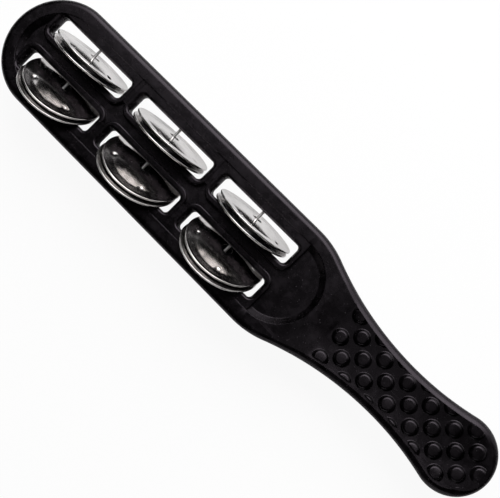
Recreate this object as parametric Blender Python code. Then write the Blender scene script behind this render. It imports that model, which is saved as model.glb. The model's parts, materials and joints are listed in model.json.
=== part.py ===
"""Jingle stick: a moulded plastic paddle with two rows of steel jingles on three cross pins.

Units are metres. +X runs towards the handle, +Y towards the pin heads and +Z up from the face
that is shown. X = 0 is half the length, and Z = 0 is the level of the lowest jingle rims.
Places called "from the tip" are measured along X from the round end of the head.
"""

from dataclasses import dataclass
from math import atan2, ceil, cos, floor, pi, radians, sin, sqrt, tan

import bmesh
import bpy
from mathutils import Matrix, Vector

# Jingles: thin pressed discs with a low dome, a flat flange and a loose hole
JINGLE_DIAMETER = 0.0361
JINGLE_SHEET = 0.0005
JINGLE_HOLE = 0.0045
DOME_DIAMETER = 0.0276
DOME_HEIGHT = 0.0009
RIGHT_UPPER_LEAN = radians(10.7)
RIGHT_LOWER_LEAN = radians(12.9)
LEFT_UPPER_LEAN = radians(36.5)
LEFT_LOWER_LEAN = radians(34.5)
RIGHT_PAIR_SPACING = 0.0039
RIGHT_PAIR_STANDOFF = 0.0013
LEFT_PAIR_SPACING = 0.0045
LEFT_PAIR_STANDOFF = 0.00252

# Cross pins, pushed in from the +Y edge
PIN_DIAMETER = 0.0012
PIN_HEAD_DIAMETER = 0.0022
PIN_HEAD_LENGTH = 0.0008
PIN_HEAD_PROUD = 0.00015
PIN_BLIND_WALL = 0.003

# Windows and the raised collars round them
COLUMNS = 3
WINDOW_WIDTH = 0.0093
WINDOW_CORNER = 0.0018
WINDOW_EDGE_ROUND = 0.001
JINGLE_END_CLEARANCE = 0.0026
COLLAR_END_WALL = 0.0023
COLLAR_INNER_WALL = 0.00305
COLLAR_OUTER_WALL = 0.00365
COLLAR_CORNER = 0.005
COLLAR_GROOVE = 0.001
CENTRE_CHANNEL = 0.003

# Head: rails, recess and web
RAIL_THICKNESS = 0.008
RAIL_WIDTH = 0.00647
RAIL_STEP = 0.0005
EDGE_ROUND = 0.0027
WEB_THICKNESS = 0.003
RECESS_COVE = 0.0022
TIP_WALL = 0.01325

# Neck and handle
SHOULDER_RADIUS = 0.0384
SHOULDER_LEAD = 0.00205
NECK_LAND = 0.00135
RAMP_LENGTH = 0.0089
WAIST_WIDTH = 0.02408
WAIST_TO_END = 0.047
END_DIAMETER = 0.0314
HANDLE_LENGTH = 0.0889

# Grip: a hollowed face with a field of round studs
GRIP_DROP = 0.0018
GRIP_HOLLOW_RADIUS = 0.12
GRIP_MARGIN = 0.0026
STUD_DIAMETER = 0.0064
STUD_TOP_DIAMETER = 0.0053
STUD_HEIGHT = 0.0012
STUD_EDGE = 0.0003
STUD_PITCH = 0.01185
STUD_ROW_PITCH = 0.00575
STUD_ROWS_EACH_SIDE = 2
STUD_LEAD = 0.0044

# Fits
SEAT_GAP = 0.0003
BURIED = 0.0005
CUT_PAST = 0.003
WELD = 0.000003

# Facets
ARC_STEP = radians(7.5)
CORNER_STEPS = 3
EDGE_STEPS = 3
ROUND_STEPS = 2
JINGLE_STEPS = 32
DOME_STEPS = 2
PIN_STEPS = 12
BORE_STEPS = 12
STUD_STEPS = 12
HOLLOW_STEPS = 8

# Sizes that follow from the ones above
JINGLE_RADIUS = JINGLE_DIAMETER / 2
WINDOW_LENGTH = JINGLE_DIAMETER + 2 * JINGLE_END_CLEARANCE
COLUMN_PITCH = WINDOW_LENGTH + 2 * COLLAR_END_WALL + COLLAR_GROOVE
FIRST_PIN = TIP_WALL + WINDOW_LENGTH / 2
LAST_COLLAR_END = FIRST_PIN + (COLUMNS - 1) * COLUMN_PITCH + WINDOW_LENGTH / 2 + COLLAR_END_WALL
WINDOW_NEAR = CENTRE_CHANNEL / 2 + COLLAR_INNER_WALL
WINDOW_FAR = WINDOW_NEAR + WINDOW_WIDTH
WINDOW_MIDDLE = (WINDOW_NEAR + WINDOW_FAR) / 2
RECESS_HALF = WINDOW_FAR + COLLAR_OUTER_WALL
HEAD_HALF = RECESS_HALF + RAIL_WIDTH
RECESS_END = LAST_COLLAR_END + RECESS_HALF
RAMP_START = RECESS_END + NECK_LAND
GRIP_START = RAMP_START + RAMP_LENGTH
LENGTH = RAMP_START + HANDLE_LENGTH
SHOULDER_START = LAST_COLLAR_END - SHOULDER_LEAD
WAIST = LENGTH - WAIST_TO_END
WAIST_HALF = WAIST_WIDTH / 2
END_RADIUS = END_DIAMETER / 2
END_CENTRE = LENGTH - END_RADIUS
COLLAR_THICKNESS = RAIL_THICKNESS - 2 * RAIL_STEP
RECESS_DEPTH = (RAIL_THICKNESS - WEB_THICKNESS) / 2
HALF_THICKNESS = RAIL_THICKNESS / 2


def along(from_tip):
    """X of a place that is measured from the tip."""
    return from_tip - LENGTH / 2


def pin_x(column):
    """X of a column's pin."""
    return along(FIRST_PIN + column * COLUMN_PITCH)


def hang(lean):
    """How far a leaning jingle's hole centre lies below the pin that carries it, in its plane."""
    pin_reach = PIN_DIAMETER / 2 / cos(lean) + JINGLE_SHEET / 2 * tan(lean)
    return JINGLE_HOLE / 2 - pin_reach - SEAT_GAP


def lowest_rim(lean):
    """Depth below the pin of the lowest point of a jingle whose dome looks up and to +Y."""
    in_plane = (JINGLE_RADIUS + hang(lean)) * cos(lean)
    return in_plane + (DOME_HEIGHT + JINGLE_SHEET / 2) * sin(lean)


PIN_HEIGHT = max(lowest_rim(RIGHT_UPPER_LEAN), lowest_rim(LEFT_UPPER_LEAN))


@dataclass(frozen=True)
class Perch:
    """One jingle's place: its row, its side of the pair, the lean and the place on the pin."""

    name: str
    y: float
    lean: float
    dome_up: bool


def perches():
    """The four places on each pin, from +Y to -Y."""
    right_lower = WINDOW_NEAR + RIGHT_PAIR_STANDOFF
    left_upper = -WINDOW_NEAR - LEFT_PAIR_STANDOFF
    return (
        Perch("right_upper", right_lower + RIGHT_PAIR_SPACING, RIGHT_UPPER_LEAN, True),
        Perch("right_lower", right_lower, RIGHT_LOWER_LEAN, False),
        Perch("left_upper", left_upper, LEFT_UPPER_LEAN, True),
        Perch("left_lower", left_upper - LEFT_PAIR_SPACING, LEFT_LOWER_LEAN, False),
    )


def clear_scene():
    """Remove every object of the scene."""
    for item in list(bpy.data.objects):
        bpy.data.objects.remove(item, do_unlink=True)


def material(name, colour, roughness, metallic):
    """A plain Principled material."""
    made = bpy.data.materials.new(name)
    made.use_nodes = True
    shader = made.node_tree.nodes["Principled BSDF"]
    shader.inputs["Base Color"].default_value = (*colour, 1.0)
    shader.inputs["Roughness"].default_value = roughness
    shader.inputs["Metallic"].default_value = metallic
    return made


def add_object(name, bm, finish=None):
    """Link a finished bmesh as a named object with outward faces."""
    bmesh.ops.recalc_face_normals(bm, faces=bm.faces)
    mesh = bpy.data.meshes.new(name)
    bm.to_mesh(mesh)
    bm.free()
    made = bpy.data.objects.new(name, mesh)
    bpy.context.collection.objects.link(made)
    if finish:
        mesh.materials.append(finish)
        mesh.shade_smooth()
        mesh.set_sharp_from_angle(angle=radians(35))
    return made


def guide(name, bm):
    """A hidden shape that is only cut from, joined to or crossed with another."""
    made = add_object(name, bm)
    made.hide_render = True
    made.display_type = "WIRE"
    return made


def combine(target, other, operation):
    """Add a Boolean modifier."""
    modifier = target.modifiers.new(other.name, "BOOLEAN")
    modifier.operation = operation
    modifier.solver = "EXACT"
    modifier.object = other


def arc(centre, radius, start, end, step=ARC_STEP):
    """Points of an arc from one angle to another, both ends included."""
    count = max(2, ceil(abs(end - start) / step))
    angles = [start + (end - start) * i / count for i in range(count + 1)]
    return [(centre[0] + radius * cos(a), centre[1] + radius * sin(a)) for a in angles]


def mirrored(upper):
    """Close an upper half outline, which runs from one end to the other, with its mirror image."""
    lower = [(x, -y) for x, y in reversed(upper) if y > WELD]
    return upper + lower


def stick_outline(inset=0.0):
    """The paddle's outline, or a line that runs inside it at one distance, by tangent arcs."""
    shoulder_centre = (SHOULDER_START, HEAD_HALF - SHOULDER_RADIUS)
    rise = WAIST_HALF - shoulder_centre[1]
    run = WAIST - SHOULDER_START
    neck_radius = (run**2 + rise**2 - SHOULDER_RADIUS**2) / (2 * (SHOULDER_RADIUS - rise))
    end_run = END_CENTRE - WAIST
    tail_radius = (end_run**2 + WAIST_HALF**2 - END_RADIUS**2) / (2 * (END_RADIUS - WAIST_HALF))
    neck_centre = (WAIST, WAIST_HALF + neck_radius)
    tail_centre = (WAIST, WAIST_HALF + tail_radius)
    neck_turn = atan2(neck_centre[1] - shoulder_centre[1], neck_centre[0] - shoulder_centre[0])
    tail_turn = atan2(tail_centre[1], tail_centre[0] - END_CENTRE)
    fine = ARC_STEP / 2
    upper = arc((HEAD_HALF, 0), HEAD_HALF - inset, pi, pi / 2)
    upper += arc(shoulder_centre, SHOULDER_RADIUS - inset, pi / 2, neck_turn)
    upper += arc(neck_centre, neck_radius + inset, neck_turn + pi, 1.5 * pi, fine)[1:]
    upper += arc(tail_centre, tail_radius + inset, 1.5 * pi, tail_turn + pi, fine)[1:]
    upper += arc((END_CENTRE, 0), END_RADIUS - inset, tail_turn, 0)[1:]
    return [(along(x), y) for x, y in mirrored(upper)]


def recess_outline(outset=0.0):
    """The round-ended recess in the head, or a line outside it at one distance."""
    radius = RECESS_HALF + outset
    upper = arc((HEAD_HALF, 0), radius, pi, pi / 2)
    upper += arc((LAST_COLLAR_END, 0), radius, pi / 2, 0)
    return [(along(x), y) for x, y in mirrored(upper)]


def rounded_rectangle(x_range, y_range, radii):
    """A rectangle whose corners, counted round from low x and low y, have their own radii."""
    (x0, x1), (y0, y1) = x_range, y_range
    corners = ((x0, y0, 1, 1), (x1, y0, -1, 1), (x1, y1, -1, -1), (x0, y1, 1, -1))
    points = []
    for turn, ((x, y, dx, dy), radius) in enumerate(zip(corners, radii)):
        if radius:
            centre = (x + dx * radius, y + dy * radius)
            start = pi + turn * pi / 2
            points += arc(centre, radius, start, start + pi / 2, pi / 2 / CORNER_STEPS)
        else:
            points.append((x, y))
    return points


def loft(bm, loops):
    """Skin a stack of loops with equal counts of points, given as 3-D points, and cap its ends."""
    rings = [[bm.verts.new(p) for p in loop] for loop in loops]
    for low, high in zip(rings, rings[1:]):
        for i in range(len(low)):
            j = (i + 1) % len(low)
            bm.faces.new((low[i], low[j], high[j], high[i]))
    bm.faces.new(list(reversed(rings[0])))
    bm.faces.new(rings[-1])


def level(points, z):
    """Lift a flat outline to a height above the stick's middle plane."""
    return [(x, y, z + PIN_HEIGHT) for x, y in points]


def round_end_edges(bm, height, width, segments):
    """Round the edges of every face that lies flat at a height above the middle plane."""
    z = height + PIN_HEIGHT
    near = SEAT_GAP / 10
    edges = [e for e in bm.edges if all(abs(v.co.z - z) < near for v in e.verts)]
    bmesh.ops.bevel(bm, geom=edges, offset=width, segments=segments, profile=0.5, affect="EDGES")
    bmesh.ops.remove_doubles(bm, verts=bm.verts, dist=WELD)


def turned(profile, steps, closed=False):
    """Spin a profile of (radius, height) points about Z."""
    bm = bmesh.new()
    points = [bm.verts.new((r, 0, z)) for r, z in profile]
    pairs = list(zip(points, points[1:]))
    if closed:
        pairs.append((points[-1], points[0]))
    edges = [bm.edges.new(pair) for pair in pairs]
    spun = points + edges
    bmesh.ops.spin(bm, geom=spun, cent=(0, 0, 0), axis=(0, 0, 1), angle=2 * pi, steps=steps, use_merge=True)
    bmesh.ops.remove_doubles(bm, verts=bm.verts, dist=WELD)
    return bm


def add_placed(bm, one, place):
    """Move a finished shape to its place and add it to another mesh."""
    bmesh.ops.transform(one, matrix=place, verts=one.verts)
    copy = bpy.data.meshes.new("copy")
    one.to_mesh(copy)
    one.free()
    bm.from_mesh(copy)
    bpy.data.meshes.remove(copy)


def collars():
    """The six collar blocks, kept inside the recess and a little way into the rails."""
    bm = bmesh.new()
    half_length = WINDOW_LENGTH / 2 + COLLAR_END_WALL
    near = CENTRE_CHANNEL / 2
    far = RECESS_HALF + 2 * BURIED
    for column in range(COLUMNS):
        x_range = (pin_x(column) - half_length, pin_x(column) + half_length)
        right = rounded_rectangle(x_range, (near, far), (COLLAR_CORNER, COLLAR_CORNER, 0, 0))
        left = rounded_rectangle(x_range, (-far, -near), (0, 0, COLLAR_CORNER, COLLAR_CORNER))
        for outline in (right, left):
            half = COLLAR_THICKNESS / 2
            loft(bm, [level(outline, -half), level(outline, half)])
    blocks = guide("collar_blocks", bm)
    bm = bmesh.new()
    loft(bm, [level(recess_outline(BURIED), -HALF_THICKNESS), level(recess_outline(BURIED), HALF_THICKNESS)])
    combine(blocks, guide("collar_limit", bm), "INTERSECT")
    return blocks


def window_cutters():
    """Six through windows, flared at both faces to leave rounded edges on the collars."""
    bm = bmesh.new()
    face = COLLAR_THICKNESS / 2
    turns = [pi / 2 * i / ROUND_STEPS for i in range(ROUND_STEPS + 1)]
    flare = [(face - WINDOW_EDGE_ROUND * (1 - sin(a)), WINDOW_EDGE_ROUND * (1 - cos(a))) for a in turns]
    flare.append((face + CUT_PAST, WINDOW_EDGE_ROUND))
    stack = [(-z, grow) for z, grow in reversed(flare)] + flare
    for column in range(COLUMNS):
        for side in (1, -1):
            loops = []
            for z, grow in stack:
                half_x = WINDOW_LENGTH / 2 + grow
                half_y = WINDOW_WIDTH / 2 + grow
                x_range = (pin_x(column) - half_x, pin_x(column) + half_x)
                y_range = (side * WINDOW_MIDDLE - half_y, side * WINDOW_MIDDLE + half_y)
                loops.append(level(rounded_rectangle(x_range, y_range, [WINDOW_CORNER + grow] * 4), z))
            loft(bm, loops)
    return guide("window_cutters", bm)


def recess_cutters():
    """The recess on both faces, with a cove where its wall meets the web."""
    bm = bmesh.new()
    floor_height = HALF_THICKNESS - RECESS_DEPTH
    outline = recess_outline()
    loft(bm, [level(outline, floor_height), level(outline, HALF_THICKNESS + CUT_PAST)])
    loft(bm, [level(outline, -HALF_THICKNESS - CUT_PAST), level(outline, -floor_height)])
    for height in (floor_height, -floor_height):
        round_end_edges(bm, height, RECESS_COVE, EDGE_STEPS)
    return guide("recess_cutters", bm)


def hollow_height(y):
    """Height of the hollowed grip face above the middle plane."""
    sag = GRIP_HOLLOW_RADIUS - sqrt(GRIP_HOLLOW_RADIUS**2 - y**2)
    return HALF_THICKNESS - GRIP_DROP + sag


def grip_cutters():
    """What the ramp and the hollow take off both faces of the handle."""
    half_width = HEAD_HALF + CUT_PAST
    lines = [half_width * (2 * i / HOLLOW_STEPS - 1) for i in range(HOLLOW_STEPS + 1)]
    top = HALF_THICKNESS + 2 * CUT_PAST
    flat = [HALF_THICKNESS] * len(lines)
    hollow = [hollow_height(y) for y in lines]
    stations = ((RAMP_START, flat), (GRIP_START, hollow), (LENGTH + CUT_PAST, hollow))
    bm = bmesh.new()
    for side in (1, -1):
        loops = []
        for x, heights in stations:
            under = [(along(x), y, PIN_HEIGHT + side * z) for y, z in zip(lines, heights)]
            over = [(along(x), half_width * s, PIN_HEIGHT + side * top) for s in (1, -1)]
            loops.append(under + over)
        loft(bm, loops)
    return guide("grip_cutters", bm)


def stud():
    """One stud as a turned shape, buried a little in the face that it stands on."""
    foot = STUD_DIAMETER / 2
    crown = STUD_TOP_DIAMETER / 2
    profile = (
        (0, -BURIED),
        (foot, -BURIED),
        (foot, 0),
        (crown, STUD_HEIGHT - STUD_EDGE),
        (crown - STUD_EDGE, STUD_HEIGHT),
        (0, STUD_HEIGHT),
    )
    return turned(profile, STUD_STEPS)


def stud_places():
    """Places of the studs on one face: rows that stagger by half a pitch."""
    for row in range(-STUD_ROWS_EACH_SIDE, STUD_ROWS_EACH_SIDE + 1):
        stagger = STUD_PITCH / 2 * (row % 2)
        first = GRIP_START + STUD_LEAD + stagger
        count = floor((LENGTH - GRIP_MARGIN - first) / STUD_PITCH) + 1
        for i in range(count):
            yield first + i * STUD_PITCH, row * STUD_ROW_PITCH


def studs():
    """The stud fields of both faces, trimmed along the margin of the grip."""
    bm = bmesh.new()
    for x, y in stud_places():
        turn = Matrix.Rotation(atan2(y, GRIP_HOLLOW_RADIUS), 4, "X")
        for side in (1, -1):
            lift = Matrix.Translation((along(x), y, hollow_height(y)))
            flip = Matrix.Diagonal((1, 1, side, 1))
            add_placed(bm, stud(), Matrix.Translation((0, 0, PIN_HEIGHT)) @ flip @ lift @ turn)
    field = guide("stud_field", bm)
    bm = bmesh.new()
    limit = stick_outline(GRIP_MARGIN)
    loft(bm, [level(limit, -HALF_THICKNESS - CUT_PAST), level(limit, HALF_THICKNESS + CUT_PAST)])
    combine(field, guide("stud_limit", bm), "INTERSECT")
    return field


def pin_profile(spare):
    """Half section of a headed pin along its axis, or of its bore with spare room all round."""
    head_top = HEAD_HALF + PIN_HEAD_PROUD + spare
    head_under = HEAD_HALF + PIN_HEAD_PROUD - PIN_HEAD_LENGTH - spare
    end = PIN_BLIND_WALL - HEAD_HALF - spare
    shank = PIN_DIAMETER / 2 + spare
    head = PIN_HEAD_DIAMETER / 2 + spare
    return ((0, head_top), (head, head_top), (head, head_under), (shank, head_under), (shank, end), (0, end))


def lay_across(x, y, turn):
    """Placement of a turned piece on a cross pin, tipped about X."""
    return Matrix.Translation((x, y, PIN_HEIGHT)) @ Matrix.Rotation(turn, 4, "X")


def bore_cutters():
    """The blind bores that the pins sit in."""
    bm = bmesh.new()
    for column in range(COLUMNS):
        bore = turned(pin_profile(SEAT_GAP), BORE_STEPS)
        add_placed(bm, bore, lay_across(pin_x(column), 0, -pi / 2))
    return guide("bore_cutters", bm)


def stick_body(finish):
    """The one-piece moulding: paddle, recess, collars, windows, ramp, hollow and studs."""
    bm = bmesh.new()
    outline = stick_outline()
    loft(bm, [level(outline, -HALF_THICKNESS), level(outline, HALF_THICKNESS)])
    for height in (-HALF_THICKNESS, HALF_THICKNESS):
        round_end_edges(bm, height, EDGE_ROUND, EDGE_STEPS)
    body = add_object("stick_body", bm, finish)
    combine(body, recess_cutters(), "DIFFERENCE")
    combine(body, collars(), "UNION")
    combine(body, window_cutters(), "DIFFERENCE")
    combine(body, grip_cutters(), "DIFFERENCE")
    combine(body, studs(), "UNION")
    combine(body, bore_cutters(), "DIFFERENCE")
    return body


def cross_pin(column, finish):
    """A headed pin that carries both pairs of jingles of a column."""
    pin = add_object(f"jingle_pin_{column + 1}", turned(pin_profile(0), PIN_STEPS), finish)
    pin.matrix_world = lay_across(pin_x(column), 0, -pi / 2)
    return pin


def jingle_profile():
    """Closed half section of a jingle; its hole lies at height 0 and the dome looks up."""
    dome = DOME_DIAMETER / 2
    hole = JINGLE_HOLE / 2
    shares = [i / DOME_STEPS for i in range(DOME_STEPS + 1)]
    radii = [hole + (dome - hole) * share for share in shares]
    middle = [(r, -DOME_HEIGHT * (r**2 - hole**2) / (dome**2 - hole**2)) for r in radii]
    middle.append((JINGLE_RADIUS, -DOME_HEIGHT))
    upper = [(r, z + JINGLE_SHEET / 2) for r, z in middle]
    lower = [(r, z - JINGLE_SHEET / 2) for r, z in middle]
    return upper + lower[::-1]


def jingle(column, perch, finish):
    """One jingle, hung on its pin by the upper edge of its hole; its origin is on the pin."""
    up = -1 if perch.dome_up else 1
    bm = turned(jingle_profile(), JINGLE_STEPS, closed=True)
    bmesh.ops.translate(bm, vec=Vector((0, -up * hang(perch.lean), 0)), verts=bm.verts)
    made = add_object(f"jingle_{perch.name}_{column + 1}", bm, finish)
    made.matrix_world = lay_across(pin_x(column), perch.y, perch.lean + up * pi / 2)
    return made


def main():
    """Build the jingle stick."""
    clear_scene()
    plastic = material("black_plastic", (0.012, 0.011, 0.013), 0.45, 0.0)
    pin_steel = material("pin_steel", (0.62, 0.61, 0.60), 0.28, 1.0)
    nickel = material("nickel_plate", (0.66, 0.64, 0.62), 0.14, 1.0)
    stick_body(plastic)
    for column in range(COLUMNS):
        cross_pin(column, pin_steel)
        for perch in perches():
            jingle(column, perch, nickel)


main()
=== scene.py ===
"""Looks of the jingle stick: a black moulded paddle, three steel pins and twelve nickelled jingles.

Units are metres, in the frame of the CAD model. +X runs towards the handle, +Y towards the pin
heads and +Z up through the face that the photograph shows.
"""

import json
import logging
from dataclasses import dataclass
from enum import Enum
from math import atan2, cos, floor, pi, radians, sin, sqrt, tan
from typing import Any, Iterator, Sequence

import bmesh
import bpy
from mathutils import Matrix, Vector


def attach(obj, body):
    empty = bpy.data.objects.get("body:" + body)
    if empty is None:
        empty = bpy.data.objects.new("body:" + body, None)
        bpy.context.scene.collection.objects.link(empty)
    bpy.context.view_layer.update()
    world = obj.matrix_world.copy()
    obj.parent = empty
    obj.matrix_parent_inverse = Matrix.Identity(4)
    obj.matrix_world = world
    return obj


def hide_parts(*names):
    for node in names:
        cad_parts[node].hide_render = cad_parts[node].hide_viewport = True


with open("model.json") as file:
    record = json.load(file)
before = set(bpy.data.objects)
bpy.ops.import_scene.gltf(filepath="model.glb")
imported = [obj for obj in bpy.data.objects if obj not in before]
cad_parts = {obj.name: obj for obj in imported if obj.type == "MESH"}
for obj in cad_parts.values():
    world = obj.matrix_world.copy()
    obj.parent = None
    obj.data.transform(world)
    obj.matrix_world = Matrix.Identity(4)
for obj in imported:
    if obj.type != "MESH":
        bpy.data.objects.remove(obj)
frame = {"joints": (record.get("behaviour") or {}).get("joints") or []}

LOG = logging.getLogger("jingle_stick")
PHOTO_WIDTH = 500
SENSOR_WIDTH = 36.0
MILLIMETRE = 0.001
WELD = 0.000002
CUT_PAST = 0.003
FULL_TURN = 2 * pi

Point = tuple[float, float]
Place = tuple[float, float, float]
Colour = tuple[float, float, float]
Values = dict[Any, Any]

WHITE: Colour = (1.0, 1.0, 1.0)


class Row(Enum):
    """The two rows of windows, by the side of the middle that they lie on."""

    RIGHT = 1
    LEFT = -1

    def span(self, near: float, far: float) -> Point:
        """Low and high y of a span that is measured out from the middle line."""
        return (near, far) if self is Row.RIGHT else (-far, -near)


class Half(Enum):
    """The two jingles of a pair, by the way that the dome looks."""

    UPPER = 1
    LOWER = -1


class Join(Enum):
    """Ways in which one solid works on another."""

    ADD = "UNION"
    CUT = "DIFFERENCE"
    KEEP_COMMON = "INTERSECT"


class Wire:
    """An output socket that takes part in arithmetic; each step adds a Math node."""

    def __init__(self, sheet: "NodeSheet", socket: bpy.types.NodeSocket) -> None:
        """Wrap an output socket of a tree."""
        self.sheet = sheet
        self.socket = socket

    def step(self, operation: str, *others: Any) -> "Wire":
        """Add a Math node that takes this value first and then the others."""
        return self.sheet.maths(operation, self, *others)

    def __add__(self, other: Any) -> "Wire":
        """Sum, in either order."""
        return self.step("ADD", other)

    def __mul__(self, other: Any) -> "Wire":
        """Product, in either order."""
        return self.step("MULTIPLY", other)

    __radd__, __rmul__ = __add__, __mul__

    def __sub__(self, other: Any) -> "Wire":
        """Difference."""
        return self.step("SUBTRACT", other)

    def __rsub__(self, other: Any) -> "Wire":
        """Difference from a number."""
        return self.sheet.maths("SUBTRACT", other, self)

    def __truediv__(self, other: Any) -> "Wire":
        """Quotient."""
        return self.step("DIVIDE", other)

    def __rtruediv__(self, other: Any) -> "Wire":
        """A number divided by this value."""
        return self.sheet.maths("DIVIDE", other, self)

    def __pow__(self, other: Any) -> "Wire":
        """Power."""
        return self.step("POWER", other)

    def ease(self, low: float, high: float, at_low: float = 0.0, at_high: float = 1.0) -> "Wire":
        """A smooth step.

        Args:
            low: Value at which the step starts.
            high: Value at which it ends.
            at_low: Result below the step.
            at_high: Result above it.

        Returns:
            The eased value.
        """
        limits = {"From Min": low, "From Max": high, "To Min": at_low, "To Max": at_high}
        settings = {"interpolation_type": "SMOOTHSTEP"}
        return self.sheet.wire("ShaderNodeMapRange", settings, {"Value": self, **limits})


class NodeSheet:
    """A node tree, shader or geometry, with one method that adds any node."""

    def __init__(self, tree: bpy.types.NodeTree) -> None:
        """Take a tree and clear it."""
        self.tree = tree
        tree.nodes.clear()

    def node(
        self, kind: str, settings: Values | None = None, inputs: Values | None = None
    ) -> bpy.types.Node:
        """Add a node.

        Args:
            kind: The node's type.
            settings: Its properties, set before its sockets.
            inputs: Values or wires by the socket's name or number. A colour is three numbers.

        Returns:
            The node.
        """
        made = self.tree.nodes.new(kind)
        for key, value in (settings or {}).items():
            setattr(made, key, value)
        for key, value in (inputs or {}).items():
            socket = made.inputs[key]
            if isinstance(value, Wire):
                self.tree.links.new(value.socket, socket)
            else:
                socket.default_value = (*value, 1.0) if socket.type == "RGBA" else value
        return made

    def wires(
        self,
        kind: str,
        settings: Values | None = None,
        inputs: Values | None = None,
        outputs: Sequence[Any] = (0,),
    ) -> list[Wire]:
        """Add a node, as node() does, and take some of its outputs by name or number."""
        made = self.node(kind, settings, inputs)
        return [Wire(self, made.outputs[key]) for key in outputs]

    def wire(
        self,
        kind: str,
        settings: Values | None = None,
        inputs: Values | None = None,
        output: Any = 0,
    ) -> Wire:
        """Add a node, as node() does, and take one of its outputs by name or number."""
        return self.wires(kind, settings, inputs, (output,))[0]

    def maths(self, operation: str, *values: Any) -> Wire:
        """Add a Math node with its inputs in order, as numbers or wires."""
        return self.wire("ShaderNodeMath", {"operation": operation}, dict(enumerate(values)))

    def object_place(self) -> Wire:
        """Object coordinates."""
        return self.wire("ShaderNodeTexCoord", output="Object")

    def attribute(self, name: str) -> Wire:
        """A vector that the mesh holds at its points."""
        return self.wire("ShaderNodeAttribute", {"attribute_name": name}, output="Vector")

    def noise(self, place: Wire, scale: float, detail: float = 2.0, roughness: float = 0.5) -> Wire:
        """Noise from 0 to 1 over a place, at a scale in waves per metre."""
        inputs = {"Vector": place, "Scale": scale, "Detail": detail, "Roughness": roughness}
        return self.wire("ShaderNodeTexNoise", {}, inputs, "Fac")

    def stretch(self, place: Wire, scale: Place, turn: Place = (0.0, 0.0, 0.0)) -> Wire:
        """Coordinates that are stretched by a factor on each axis and turned by angles."""
        inputs = {"Vector": place, "Scale": scale, "Rotation": turn}
        return self.wire("ShaderNodeMapping", {}, inputs)

    def blend(self, share: Any, low: Any, high: Any) -> Wire:
        """Mix two colours by the share of the second one, from 0 to 1."""
        settings = {"data_type": "RGBA", "clamp_factor": True}
        return self.wire("ShaderNodeMix", settings, {0: share, 6: low, 7: high}, 2)

    def bump(self, height: Wire, strength: float = 1.0) -> Wire:
        """A normal that is bumped by a height in metres."""
        inputs = {"Height": height / MILLIMETRE, "Distance": MILLIMETRE, "Strength": strength}
        return self.wire("ShaderNodeBump", {}, inputs, "Normal")


def new_finish(name: str) -> tuple[bpy.types.Material, NodeSheet]:
    """Make an empty material.

    Args:
        name: The material's name.

    Returns:
        The material and its node sheet.
    """
    made = bpy.data.materials.new(name)
    made.use_nodes = True
    return made, NodeSheet(made.node_tree)


def principled(sheet: NodeSheet, inputs: Values) -> None:
    """End a material in a Principled shader with the given inputs."""
    shader = sheet.wire("ShaderNodeBsdfPrincipled", {}, inputs, "BSDF")
    sheet.node("ShaderNodeOutputMaterial", {}, {"Surface": shader})


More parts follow.
